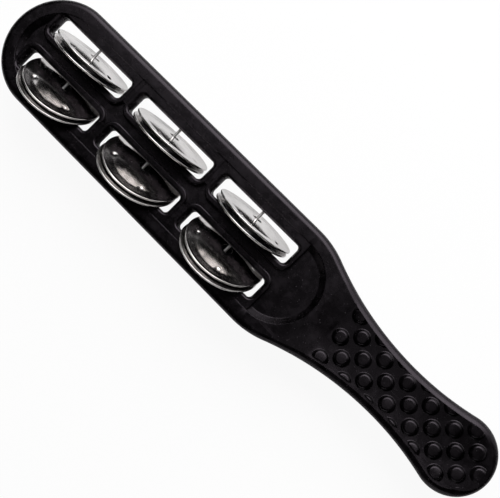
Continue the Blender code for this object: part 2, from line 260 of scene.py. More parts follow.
@dataclass(frozen=True)
class BlackPlastic:
    """Satin black moulded plastic with a fine grain, flow marks, dust specks and light scuffs."""

    body: Colour = (0.0005, 0.0004, 0.0005)
    worn: Colour = (0.0034, 0.0028, 0.0034)
    dust: Colour = (0.055, 0.05, 0.055)
    roughness: float = 0.27
    flow_roughness: float = 0.1
    patch_roughness: float = 0.3
    scuff_roughness: float = 0.16
    speck_roughness: float = 0.2
    sheen: float = 0.22
    sheen_tint: Colour = (1.0, 0.87, 1.0)
    grain_scale: float = 2400.0
    grain_depth: float = 0.000012
    flow_scale: float = 70.0
    flow_stretch: Place = (0.5, 1.0, 1.0)
    flow_depth: float = 0.00011
    patch_scale: float = 240.0
    patch_depth: float = 0.00004
    speck_cells: tuple[Point, ...] = ((620.0, 0.8), (1350.0, 0.66))
    speck_size: float = 0.62
    speck_share: float = 0.55
    speck_depth: float = 0.00003
    scuff_patch_scale: float = 55.0
    scuff_lines: tuple[Point, ...] = ((0.35, 900.0), (1.3, 1100.0), (2.4, 780.0))
    scuff_stretch: Place = (0.03, 1.0, 1.0)
    scuff_depth: float = 0.000008
    relief: float = 0.75

    def material(self) -> bpy.types.Material:
        """Build the finish.

        Returns:
            The material.
        """
        made, sheet = new_finish("satin_black_plastic")
        place = sheet.object_place()
        flow = sheet.noise(sheet.stretch(place, self.flow_stretch), self.flow_scale, 4.0)
        grain = sheet.noise(place, self.grain_scale, 3.0, 0.6)
        patches = sheet.noise(place, self.patch_scale, 3.0, 0.6)
        coarse, fine = (self.specks(sheet, place, *cells) for cells in self.speck_cells)
        specks = coarse.step("MAXIMUM", fine)
        scuffs = self.scuffs(sheet, place)
        worn = patches.ease(0.42, 0.7) * 0.75 + scuffs * 0.6
        colour = sheet.blend(worn, self.body, self.worn)
        colour = sheet.blend(specks, colour, self.dust)
        rough = self.roughness + self.flow_roughness * (flow - 0.5)
        rough = rough + self.patch_roughness * (patches - 0.5)
        rough = rough + self.scuff_roughness * scuffs + self.speck_roughness * specks
        height = grain * self.grain_depth + flow * self.flow_depth + patches * self.patch_depth
        height = height + specks * self.speck_depth - scuffs * self.scuff_depth
        sheen = {"Specular IOR Level": self.sheen, "Specular Tint": self.sheen_tint}
        normal = sheet.bump(height, self.relief)
        principled(sheet, {"Base Color": colour, "Roughness": rough, "Normal": normal, **sheen})
        return made

    def specks(self, sheet: NodeSheet, place: Wire, scale: float, rarity: float) -> Wire:
        """Small pale dust specks of uneven size, on some of the surface.

        Args:
            sheet: The material's nodes.
            place: Object coordinates.
            scale: Cells per metre.
            rarity: Share of the cells that stay clean.

        Returns:
            How much dust shows, and 0 off the specks.
        """
        inputs, outputs = {"Vector": place, "Scale": scale}, ("Color", "Distance")
        cell, near = sheet.wires("ShaderNodeTexVoronoi", {"feature": "F1"}, inputs, outputs)
        chance = sheet.wire("ShaderNodeSeparateColor", {}, {"Color": cell})
        size = (chance - rarity).step("MAXIMUM", 0.0) * self.speck_size
        spots = (size - near).ease(-0.004, 0.02) * chance.ease(rarity, rarity + 0.02)
        return spots * self.speck_share

    def scuffs(self, sheet: NodeSheet, place: Wire) -> Wire:
        """Fine rub lines in several directions, in patches.

        Args:
            sheet: The material's nodes.
            place: Object coordinates.

        Returns:
            1 on a line and 0 elsewhere.
        """
        where = sheet.noise(place, self.scuff_patch_scale).ease(0.5, 0.66)
        lines = None
        for turn, scale in self.scuff_lines:
            along = sheet.stretch(place, self.scuff_stretch, (0.0, 0.0, turn))
            line = sheet.noise(along, scale, 1.0).ease(0.68, 0.76)
            lines = lines.step("MAXIMUM", line) if lines else line
        return lines * where


@dataclass(frozen=True)
class NickelPlate:
    """Bright nickel on pressed steel: near mirror, with turning marks, smears and dull spots.

    It reads two attributes of a jingle: "plate", a place on the jingle's own axes, and "inside",
    which is 1 where the inner face gets painted shade: a near-black colour that stands for the dark
    gap between the two jingles of a pair.
    """

    plate: Colour = (0.59, 0.572, 0.563)
    dull: Colour = (0.38, 0.365, 0.357)
    # Painted shade: near-black colour of the inner face, standing for the dark gap between the
    # jingles of a pair.
    painted_gap_shade: Colour = (0.012, 0.0105, 0.01)
    roughness: float = 0.135
    smear_roughness: float = 0.085
    spot_roughness: float = 0.15
    ring_roughness: float = 0.012
    inside_roughness: float = 0.4
    smear_scale: float = 75.0
    spot_scale: float = 900.0
    ring_pitch: float = 0.00042
    ring_wander: float = 3.0
    wander_scale: float = 130.0
    ring_depth: float = 0.0000016
    dent_scale: float = 95.0
    dent_depth: float = 0.000013
    relief: float = 0.8

    def material(self) -> bpy.types.Material:
        """Build the finish.

        Returns:
            The material.
        """
        made, sheet = new_finish("bright_nickel")
        plate = sheet.attribute("plate")
        across, along = sheet.wires("ShaderNodeSeparateXYZ", {}, {0: plate}, (0, 1))
        inside = sheet.wire("ShaderNodeSeparateXYZ", {}, {0: sheet.attribute("inside")})
        radius = (across * across + along * along) ** 0.5
        wander = sheet.noise(plate, self.wander_scale) * self.ring_wander
        rings = ((radius / self.ring_pitch + wander) * FULL_TURN).step("SINE")
        smears = sheet.noise(plate, self.smear_scale, 5.0, 0.6).ease(0.40, 0.70)
        spots = sheet.noise(plate, self.spot_scale).ease(0.66, 0.74) * smears
        colour = sheet.blend(smears * 0.7 + spots * 0.4, self.plate, self.dull)
        # Painted shade: the inner face turns near black where "inside" is 1, for the shade of the
        # gap between the pair.
        colour = sheet.blend(inside, colour, self.painted_gap_shade)
        rough = self.roughness + smears * self.smear_roughness + spots * self.spot_roughness
        rough = rough + rings * self.ring_roughness + inside * self.inside_roughness
        dents = sheet.noise(plate, self.dent_scale, 1.0)
        normal = sheet.bump(rings * self.ring_depth + dents * self.dent_depth, self.relief)
        inputs = {"Base Color": colour, "Roughness": rough, "Normal": normal, "Metallic": 1.0}
        principled(sheet, inputs)
        return made


@dataclass(frozen=True)
class PinSteel:
    """Drawn steel wire with lengthwise die lines and a little tarnish."""

    steel: Colour = (0.78, 0.76, 0.75)
    tarnish: Colour = (0.5, 0.48, 0.465)
    roughness: float = 0.3
    stain_roughness: float = 0.14
    line_roughness: float = 0.1
    stain_scale: float = 420.0
    line_scale: float = 5200.0
    line_stretch: Place = (1.0, 0.02, 1.0)
    line_depth: float = 0.00001

    def material(self) -> bpy.types.Material:
        """Build the finish.

        Returns:
            The material.
        """
        made, sheet = new_finish("drawn_steel")
        place = sheet.object_place()
        lines = sheet.noise(sheet.stretch(place, self.line_stretch), self.line_scale, 3.0)
        stain = sheet.noise(place, self.stain_scale, 3.0).ease(0.45, 0.75)
        uneven = lines - 0.5
        colour = sheet.blend(stain * 0.6 + uneven * 0.3, self.steel, self.tarnish)
        rough = self.roughness + self.stain_roughness * stain + self.line_roughness * uneven
        normal = sheet.bump(lines * self.line_depth)
        inputs = {"Base Color": colour, "Roughness": rough, "Normal": normal, "Metallic": 1.0}
        principled(sheet, inputs)
        return made


@dataclass(frozen=True)
class PaleFloor:
    """A white board that shows as plain white and keeps a faint shadow."""

    board: Colour = (0.86, 0.855, 0.86)
    tooth_shade: float = 0.985
    tooth_scale: float = 900.0
    tooth_depth: float = 0.00002
    roughness: float = 0.8
    sheen: float = 0.2
    shown_share: float = 0.93
    mirrored_share: float = 0.08

    def material(self) -> bpy.types.Material:
        """Build the finish.

        Returns:
            The material.
        """
        made, sheet = new_finish("white_board")
        tooth = sheet.noise(sheet.object_place(), self.tooth_scale, 3.0)
        shade = tuple(part * self.tooth_shade for part in self.board)
        colour, normal = sheet.blend(tooth, self.board, shade), sheet.bump(tooth * self.tooth_depth)
        plain = {"Roughness": self.roughness, "Specular IOR Level": self.sheen}
        inputs = {"Base Color": colour, "Normal": normal, **plain}
        board = sheet.wire("ShaderNodeBsdfPrincipled", {}, inputs, "BSDF")
        glow = sheet.wire("ShaderNodeEmission", {}, {"Color": WHITE, "Strength": 1.0})
        rays = ("Is Camera Ray", "Is Glossy Ray", "Is Transmission Ray")
        seen, mirrored_ray, through = sheet.wires("ShaderNodeLightPath", outputs=rays)
        shown = seen.step("MAXIMUM", through) * self.shown_share
        share = shown.step("MAXIMUM", mirrored_ray * self.mirrored_share)
        surface = sheet.wire("ShaderNodeMixShader", {}, {0: share, 1: board, 2: glow})
        sheet.node("ShaderNodeOutputMaterial", {}, {"Surface": surface})
        return made


class GeometryRule:
    """A Geometry Nodes tree with named sizes that makes one mesh by a rule."""

    def __init__(
        self, name: str, sizes: dict[str, float], shape: bpy.types.Object | None = None
    ) -> None:
        """Make the tree and its inputs.

        Args:
            name: Name of the tree and of its mesh.
            sizes: Named sizes, which become inputs of the tree.
            shape: An object that the tree repeats, if any.
        """
        self.name = name
        self.tree = bpy.data.node_groups.new(name, "GeometryNodeTree")
        self.sheet = NodeSheet(self.tree)
        self.values: dict[str, Any] = {}
        sockets = self.tree.interface
        sockets.new_socket("Geometry", in_out="INPUT", socket_type="NodeSocketGeometry")
        for key, value in sizes.items():
            self.add_input(key, "NodeSocketFloat", value)
        if shape:
            self.add_input("shape", "NodeSocketObject", shape)
        sockets.new_socket("Geometry", in_out="OUTPUT", socket_type="NodeSocketGeometry")
        self.start = self.sheet.node("NodeGroupInput")

    def add_input(self, key: str, kind: str, value: Any) -> None:
        """Add a named input and keep its value under the socket's identifier."""
        socket = self.tree.interface.new_socket(key, in_out="INPUT", socket_type=kind)
        self.values[socket.identifier] = value

    def size(self, key: str) -> Wire:
        """A named input as a wire."""
        return Wire(self.sheet, self.start.outputs[key])

    def vector(self, x: Any, y: Any, z: Any) -> Wire:
        """Three values as a vector."""
        return self.sheet.wire("ShaderNodeCombineXYZ", {}, {0: x, 1: y, 2: z})

    def mesh(self, geometry: Wire, finish: bpy.types.Material) -> bpy.types.Mesh:
        """Close the tree, run it and keep its plain mesh.

        Args:
            geometry: What the rule makes.
            finish: The material that it gets.

        Returns:
            The mesh.
        """
        real = self.sheet.wire("GeometryNodeRealizeInstances", {}, {"Geometry": geometry})
        inputs = {"Geometry": real, "Material": finish}
        dressed = self.sheet.wire("GeometryNodeSetMaterial", {}, inputs)
        self.sheet.node("NodeGroupOutput", {}, {0: dressed})
        carrier = add_object(self.name, bpy.data.meshes.new(self.name))
        modifier = carrier.modifiers.new(self.name, "NODES")
        modifier.node_group = self.tree
        for identifier, value in self.values.items():
            modifier[identifier] = value
        made = plain_mesh(carrier)
        carrier.modifiers.clear()
        bpy.data.objects.remove(carrier, do_unlink=True)
        made.materials.clear()
        made.materials.append(finish)
        return made


def add_object(name: str, data: bpy.types.ID) -> bpy.types.Object:
    """Put a new object in the scene.

    Args:
        name: The object's name.
        data: Its mesh, lamp or camera.

    Returns:
        The object.
    """
    made = bpy.data.objects.new(name, data)
    bpy.context.scene.collection.objects.link(made)
    return made


def plain_mesh(item: bpy.types.Object) -> bpy.types.Mesh:
    """The evaluated mesh of an object, with its modifiers applied."""
    graph = bpy.context.evaluated_depsgraph_get()
    return bpy.data.meshes.new_from_object(
        item.evaluated_get(graph), preserve_all_data_layers=True, depsgraph=graph
    )


def quarter(steps: int) -> list[float]:
    """Angles of a quarter turn, both ends included."""
    return [pi / 2 * i / steps for i in range(steps + 1)]


def soft_edge(top: float, radius: float, steps: int) -> list[Point]:
    """Heights and insets of a quarter round that rises to a top."""
    return [(top - radius * (1 - sin(a)), radius * (1 - cos(a))) for a in quarter(steps)]


def about(middle: float, reach: float) -> Point:
    """The two ends of a span about its middle."""
    return middle - reach, middle + reach


def arc(centre: Point, radius: float, start: float, end: float, steps: int) -> list[Point]:
    """Points of an arc from one angle to another, both ends included."""
    angles = [start + (end - start) * i / steps for i in range(steps + 1)]
    return [(centre[0] + radius * cos(a), centre[1] + radius * sin(a)) for a in angles]


def mirrored(upper: list[Point]) -> list[Point]:
    """Close an upper half outline with its mirror image."""
    return upper + [(x, -y) for x, y in reversed(upper) if y > WELD]


def rounded_rectangle(
    x_range: Point, y_range: Point, radii: Sequence[float], steps: int
) -> list[Point]:
    """A rectangle with rounded corners.

    Args:
        x_range: Low and high x.
        y_range: Low and high y.
        radii: Radius of each corner, counted round from low x and low y.
        steps: Chords in a corner.

    Returns:
        The outline.
    """
    (x0, x1), (y0, y1) = x_range, y_range
    corners = ((x0, y0, 1, 1), (x1, y0, -1, 1), (x1, y1, -1, -1), (x0, y1, 1, -1))
    points: list[Point] = []
    for turn, ((x, y, dx, dy), radius) in enumerate(zip(corners, radii)):
        start = pi + turn * pi / 2
        points += arc((x + dx * radius, y + dy * radius), radius, start, start + pi / 2, steps)
    return points


def skin(
    bm: bmesh.types.BMesh, loops: Sequence[Sequence[Place]]
) -> list[list[bmesh.types.BMVert]]:
    """Skin a stack of loops with equal counts of points, and leave its ends open.

    Args:
        bm: The mesh that gets the faces.
        loops: The loops from end to end.

    Returns:
        The vertices of each loop.
    """
    rings = [[bm.verts.new(p) for p in loop] for loop in loops]
    for low, high in zip(rings, rings[1:]):
        for i in range(len(low)):
            j = (i + 1) % len(low)
            bm.faces.new((low[i], low[j], high[j], high[i]))
    return rings


def loft(bm: bmesh.types.BMesh, loops: Sequence[Sequence[Place]]) -> None:
    """Skin a stack of loops and cap its ends.

    Args:
        bm: The mesh that gets the faces.
        loops: The loops from end to end.
    """
    rings = skin(bm, loops)
    bm.faces.new(list(reversed(rings[0])))
    bm.faces.new(rings[-1])


def cap_across(bm: bmesh.types.BMesh, ring: Sequence[bmesh.types.BMVert]) -> None:
    """Close a mirrored ring with strips that run straight across it.

    Args:
        bm: The mesh that gets the faces.
        ring: The ring's vertices, from one end of the mirror line round to it again.
    """
    last = len(ring)
    for i in range(last // 2):
        corners = [ring[i], ring[i + 1], ring[last - i - 1], ring[(last - i) % last]]
        kept = list(dict.fromkeys(corners))
        if len(kept) > 2:
            bm.faces.new(kept)


def face_outwards(bm: bmesh.types.BMesh) -> None:
    """Merge the doubles of a shape and turn its faces outwards."""
    bmesh.ops.remove_doubles(bm, verts=bm.verts, dist=WELD)
    bmesh.ops.recalc_face_normals(bm, faces=bm.faces)


def turned(profile: Sequence[Point], steps: int) -> bmesh.types.BMesh:
    """Spin a profile of radius and height about Z.

    Args:
        profile: Points from the axis back to the axis.
        steps: Number of facets round.

    Returns:
        The closed shape.
    """
    bm = bmesh.new()
    points = [bm.verts.new((r, 0.0, z)) for r, z in profile]
    edges = [bm.edges.new(pair) for pair in zip(points, points[1:])]
    spin = {"cent": (0, 0, 0), "axis": (0, 0, 1), "angle": FULL_TURN, "steps": steps}
    bmesh.ops.spin(bm, geom=points + edges, use_merge=True, **spin)
    face_outwards(bm)
    return bm


def add_copy(bm: bmesh.types.BMesh, mesh: bpy.types.Mesh, place: Matrix) -> None:
    """Add a copy of a mesh to a shape.

    Args:
        bm: The shape.
        mesh: The mesh.
        place: Where the copy goes.
    """
    start = len(bm.verts)
    bm.from_mesh(mesh)
    bm.verts.ensure_lookup_table()
    bmesh.ops.transform(bm, matrix=place, verts=bm.verts[start:])


def add_mesh(name: str, bm: bmesh.types.BMesh) -> bpy.types.Object:
    """Put a finished shape in the scene with its faces outwards.

    Args:
        name: The object's name.
        bm: The shape, which is freed.

    Returns:
        The object.
    """
    face_outwards(bm)
    mesh = bpy.data.meshes.new(name)
    bm.to_mesh(mesh)
    bm.free()
    return add_object(name, mesh)


def work(target: bpy.types.Object, tool: bpy.types.Object, join: Join) -> None:
    """Join or cut a solid with another and use the other up.

    Args:
        target: The solid that stays.
        tool: The solid that works on it.
        join: What it does.
    """
    modifier = target.modifiers.new(tool.name, "BOOLEAN")
    modifier.operation = join.value
    modifier.solver = "MANIFOLD"
    modifier.object = tool
    mesh = plain_mesh(target)
    target.modifiers.clear()
    old, target.data = target.data, mesh
    bpy.data.meshes.remove(old)
    bpy.data.objects.remove(tool, do_unlink=True)


def mark_faces(item: bpy.types.Object, finish: bpy.types.Material, number: int) -> None:
    """Give an object two slots of one finish and put all its faces in one of them.

    Args:
        item: The object.
        finish: The finish of both slots.
        number: The slot of the faces.
    """
    item.data.materials.clear()
    for _ in range(2):
        item.data.materials.append(finish)
    item.data.polygons.foreach_set("material_index", [number] * len(item.data.polygons))


@dataclass(frozen=True)
class StickPlan:
    """Sizes of the moulding, from the tip of its head to the end of its handle.

    The profiles of the recess are pairs of height and outset: its cove from the foot of the slope,
    and its lip from the top of it.
    """

    pin_height: float
    columns: int = 3
    window_length: float = 0.0413
    window_width: float = 0.0093
    window_corner: float = 0.0018
    window_edge: float = 0.001
    window_end_round: float = 0.0019
    window_end_inset: float = 0.0007
    collar_end_wall: float = 0.0023
    collar_inner_wall: float = 0.00305
    collar_outer_wall: float = 0.00365
    collar_corner: float = 0.005
    collar_hidden_corner: float = 0.00002
    collar_groove: float = 0.001
    collar_edge: float = 0.0007
    centre_channel: float = 0.003
    bridge_start: float = 0.0058
    bridge_drop: float = 0.00018
    bridge_corner: float = 0.00025
    thickness: float = 0.008
    rail_width: float = 0.00647
    rail_step: float = 0.0005
    rail_edge: float = 0.0003
    edge_round: float = 0.0027
    web: float = 0.003
    recess_slope: float = 0.0023
    recess_lip: float = 0.00055
    cove_profile: tuple[Point, ...] = ((0.0, -0.0003), (0.00004, 0.0), (0.00016, 0.00022))
    lip_profile: tuple[Point, ...] = ((-0.00016, -0.0002), (0.0, -0.00005), (0.0001, 0.0))
    tip_wall: float = 0.01325
    shoulder_radius: float = 0.0384
    shoulder_lead: float = 0.00205
    neck_land: float = 0.00135
    ramp_length: float = 0.0089
    waist_width: float = 0.02408
    waist_to_end: float = 0.047
    end_diameter: float = 0.0314
    handle_length: float = 0.0889
    grip_drop: float = 0.0018
    hollow_radius: float = 0.085
    grip_margin: float = 0.0033
    handle_round: float = 0.0033
    crest_inset: float = 0.0029
    crest_rise: float = 0.00008
    crest_floor: float = 0.0026
    edge_land: float = 0.00015
    end_steps: int = 40
    neck_steps: int = 24
    side_steps: int = 20

    @property
    def pitch(self) -> float:
        """Distance between two columns."""
        return self.window_length + 2 * self.collar_end_wall + self.collar_groove

    @property
    def first_pin(self) -> float:
        """The first pin from the tip."""
        return self.tip_wall + self.window_length / 2

    @property
    def last_collar_end(self) -> float:
        """Handle end of the last collar from the tip."""
        last_pin = self.first_pin + (self.columns - 1) * self.pitch
        return last_pin + self.window_length / 2 + self.collar_end_wall

    @property
    def window_near(self) -> float:
        """Near wall of a window from the middle line."""
        return self.centre_channel / 2 + self.collar_inner_wall

    @property
    def window_middle(self) -> float:
        """Middle of a window from the middle line."""
        return self.window_near + self.window_width / 2

    @property
    def recess_half(self) -> float:
        """Half width of the recess."""
        return self.window_near + self.window_width + self.collar_outer_wall

    @property
    def collar_far(self) -> float:
        """Far end of a collar inside the rail, from the middle line."""
        return self.recess_half + MILLIMETRE

    @property
    def head_half(self) -> float:
        """Half width of the head."""
        return self.recess_half + self.rail_width

    @property
    def ramp_start(self) -> float:
        """Start of the ramp from the tip."""
        return self.last_collar_end + self.recess_half + self.neck_land

    @property
    def grip_start(self) -> float:
        """Start of the hollowed grip from the tip."""
        return self.ramp_start + self.ramp_length

    @property
    def length(self) -> float:
        """Whole length."""
        return self.ramp_start + self.handle_length

    @property
    def half(self) -> float:
        """Half the thickness of the rails."""
        return self.thickness / 2

    @property
    def collar_half(self) -> float:
        """Half the thickness of the collars."""
        return self.half - self.rail_step

    def along(self, from_tip: float) -> float:
        """X of a place that is measured from the tip."""
        return from_tip - self.length / 2

    def pin_x(self, column: int) -> float:
        """X of a column's pin."""
        return self.along(self.first_pin + column * self.pitch)

    def pin_place(self, column: int) -> Matrix:
        """Lays a shape on the Z axis along a column's pin, with its top towards the right row."""
        spot = (self.pin_x(column), 0, self.pin_height)
        return Matrix.Translation(spot) @ Matrix.Rotation(-pi / 2, 4, "X")

    def windows(self) -> list[tuple[int, Row]]:
        """The column and the row of each window."""
        return [(column, row) for column in range(self.columns) for row in Row]

    def level(self, points: Sequence[Point], z: float) -> list[Place]:
        """Lift a flat outline to a height above the middle plane."""
        return [(x, y, z + self.pin_height) for x, y in points]

    def slab(self, bm: bmesh.types.BMesh, outline: Sequence[Point], half: float) -> None:
        """Add a straight block over an outline, to a height on both sides of the middle plane."""
        loft(bm, [self.level(outline, -half), self.level(outline, half)])

    def trim(self, target: bpy.types.Object, outline: Sequence[Point], half: float) -> None:
        """Take off all of a solid that lies past an outline.

        Args:
            target: The solid.
            outline: The outline.
            half: Height that is kept on both sides of the middle plane.
        """
        limit = bmesh.new()
        self.slab(limit, outline, half)
        work(target, add_mesh("limit", limit), Join.KEEP_COMMON)

    def hollow(self, y: float) -> float:
        """Height of the hollowed grip face above the middle plane."""
        sag = sqrt(self.hollow_radius**2 - y**2)
        return self.half - self.grip_drop + self.hollow_radius - sag

    def window_flare(self, angle: float) -> Point:
        """How far a window's ends and sides stand back at a place on the round of its ends.

        Args:
            angle: Place on the round, from 0 at the middle plane to a quarter turn at the top.

        Returns:
            How much the half length and the half width grow.
        """
        past = max(self.collar_half * (sin(angle) - 1) + self.window_edge, 0.0)
        side = self.window_edge - sqrt(max(self.window_edge**2 - past**2, 0.0))
        return self.window_end_round * (1 - cos(angle)) - self.window_end_inset, side

    def handle_share(self, x: float) -> float:
        """How much of the handle's section shows at x, from 0 on the head to 1 on the grip."""
        return min(max((x - self.along(self.ramp_start)) / self.ramp_length, 0.0), 1.0)

    def edge_ring(self, angle: float, side: int) -> list[Place]:
        """One ring of the rounded edge, which sinks with the ramp and follows the grip's crest.

        Args:
            angle: Place on the round, from 0 at the side to a quarter turn at the top.
            side: 1 for the shown face and -1 for the back.

        Returns:
            The ring's points.
        """
        ring: list[Place] = []
        for (x, y), (x_in, y_in) in zip(self.outline(), self.outline(MILLIMETRE)):
            share = self.handle_share(x)
            grip_face = self.hollow(max(abs(y) - self.crest_inset, 0.0))
            crest = max(grip_face, self.crest_floor) + self.crest_rise
            top = self.half + (crest - self.half) * share
            radius = self.edge_round + (self.handle_round - self.edge_round) * share
            step = radius * (1 - cos(angle)) / MILLIMETRE
            z = top - min(radius, top - self.edge_land) * (1 - sin(angle))
            place = (x + (x_in - x) * step, y + (y_in - y) * step, self.pin_height + side * z)
            ring.append(place)
        return ring

    def outline(self, inset: float = 0.0) -> list[Point]:
        """The paddle's outline by tangent arcs.

        Args:
            inset: Distance inside the outline.

        Returns:
            The closed outline.
        """
        big, waist, shoulder_radius = self.head_half, self.waist_width / 2, self.shoulder_radius
        end_radius = self.end_diameter / 2
        waist_x = self.length - self.waist_to_end
        end_x = self.length - end_radius
        shoulder = (self.last_collar_end - self.shoulder_lead, big - shoulder_radius)
        rise, run, end_run = waist - shoulder[1], waist_x - shoulder[0], end_x - waist_x
        neck_radius = (run**2 + rise**2 - shoulder_radius**2) / (2 * (shoulder_radius - rise))
        tail_radius = (end_run**2 + waist**2 - end_radius**2) / (2 * (end_radius - waist))
        neck, tail = (waist_x, waist + neck_radius), (waist_x, waist + tail_radius)
        neck_turn = atan2(neck[1] - shoulder[1], neck[0] - shoulder[0])
        tail_turn = atan2(tail[1], tail[0] - end_x)
        top, foot = pi / 2, 1.5 * pi
        upper = arc((big, 0), big - inset, pi, top, self.end_steps)
        upper += arc(shoulder, shoulder_radius - inset, top, neck_turn, self.side_steps)
        upper += arc(neck, neck_radius + inset, neck_turn + pi, foot, self.neck_steps)[1:]
        upper += arc(tail, tail_radius + inset, foot, tail_turn + pi, self.side_steps)[1:]
        upper += arc((end_x, 0), end_radius - inset, tail_turn, 0, self.end_steps)[1:]
        return [(self.along(x), y) for x, y in mirrored(upper)]

    def recess(self, outset: float = 0.0) -> list[Point]:
        """The round-ended recess of the head.

        Args:
            outset: Distance outside it.

        Returns:
            The closed outline.
        """
        radius = self.recess_half + outset
        upper = arc((self.head_half, 0), radius, pi, pi / 2, self.end_steps)
        upper += arc((self.last_collar_end, 0), radius, pi / 2, 0, self.end_steps)
        return [(self.along(x), y) for x, y in mirrored(upper)]


@dataclass
class StudField:
    """The staggered field of round studs on the grip, made by a rule."""

    plan: StickPlan
    diameter: float = 0.0064
    top_diameter: float = 0.0049
    height: float = 0.00135
    top_round: float = 0.0006
    foot_round: float = 0.00042
    round_steps: int = 6
    buried: float = 0.0006
    pitch: float = 0.01185
    row_pitch: float = 0.0055
    aside: float = 0.0006
    rows_each_side: int = 2
    lead: float = 0.0044
    facets: int = 36

    def stud(self) -> bpy.types.Object:
        """One stud with a softened top edge and a small fillet at its foot.

        Returns:
            The stud, upright on the Z axis.
        """
        foot, crown = self.diameter / 2, self.top_diameter / 2
        slope = (foot - crown) / self.height
        side_top = self.height - self.top_round
        reach = foot + self.foot_round
        profile: list[Point] = [(0.0, -self.buried), (reach, -self.buried), (reach, 0.0)]
        for a in quarter(self.round_steps)[1:]:
            up = self.foot_round * (1 - cos(a))
            profile.append((foot - slope * up + self.foot_round * (1 - sin(a)), up))
        for a in quarter(self.round_steps):
            up = side_top + self.top_round * sin(a)
            profile.append((foot - slope * up - self.top_round * (1 - cos(a)), up))
        profile.append((0.0, self.height))
        return add_mesh("stud", turned(profile, self.facets))

    def upper_face(self, finish: bpy.types.Material) -> bpy.types.Mesh:
        """The studs of the shown face, with the middle plane at 0.

        Args:
            finish: The moulding's material.

        Returns:
            The studs as one mesh.
        """
        plan, stud = self.plan, self.stud()
        first = plan.grip_start + self.lead
        across = 2 * self.rows_each_side + 1
        down = floor((plan.length - first) / self.pitch) + 1
        sizes = {
            "pitch": self.pitch,
            "row pitch": self.row_pitch,
            "aside": self.aside,
            "first": plan.along(first),
            "hollow radius": plan.hollow_radius,
            "hollow floor": plan.half - plan.grip_drop,
        }
        rule = GeometryRule("stud_rule", sizes, stud)
        sheet, size = rule.sheet, rule.size
        index = sheet.wire("GeometryNodeInputIndex")
        row = (index / down).step("FLOOR")
        place = index - row * down
        odd = row.step("FLOORED_MODULO", 2.0)
        radius = size("hollow radius")
        x = size("first") + (place + odd * 0.5) * size("pitch")
        y = (row - self.rows_each_side) * size("row pitch") + size("aside")
        sag = radius - (radius * radius - y * y) ** 0.5
        spot = rule.vector(x, y, size("hollow floor") + sag)
        points = sheet.wire("GeometryNodePoints", {}, {"Count": across * down, "Position": spot})
        shape = sheet.wire("GeometryNodeObjectInfo", {}, {"Object": size("shape")}, "Geometry")
        tip = rule.vector((y / radius).step("ARCTANGENT"), 0.0, 0.0)
        inputs = {"Points": points, "Instance": shape, "Rotation": tip}
        made = rule.mesh(sheet.wire("GeometryNodeInstanceOnPoints", {}, inputs), finish)
        bpy.data.objects.remove(stud, do_unlink=True)
        return made

    def build(self, finish: bpy.types.Material) -> bpy.types.Object:
        """All the studs of both faces, cut off along the margin of the grip.

        Args:
            finish: The moulding's material.

        Returns:
            The studs as one object.
        """
        plan, bm = self.plan, bmesh.new()
        upper = self.upper_face(finish)
        for side in (1, -1):
            lift = Matrix.Translation((0, 0, plan.pin_height))
            add_copy(bm, upper, lift @ Matrix.Diagonal((1, 1, side, 1)))
        studs = add_mesh("stud_field", bm)
        margin = [(x, y + self.aside) for x, y in plan.outline(plan.grip_margin)]
        plan.trim(studs, margin, plan.half + CUT_PAST)
        mark_faces(studs, finish, 1)
        return studs


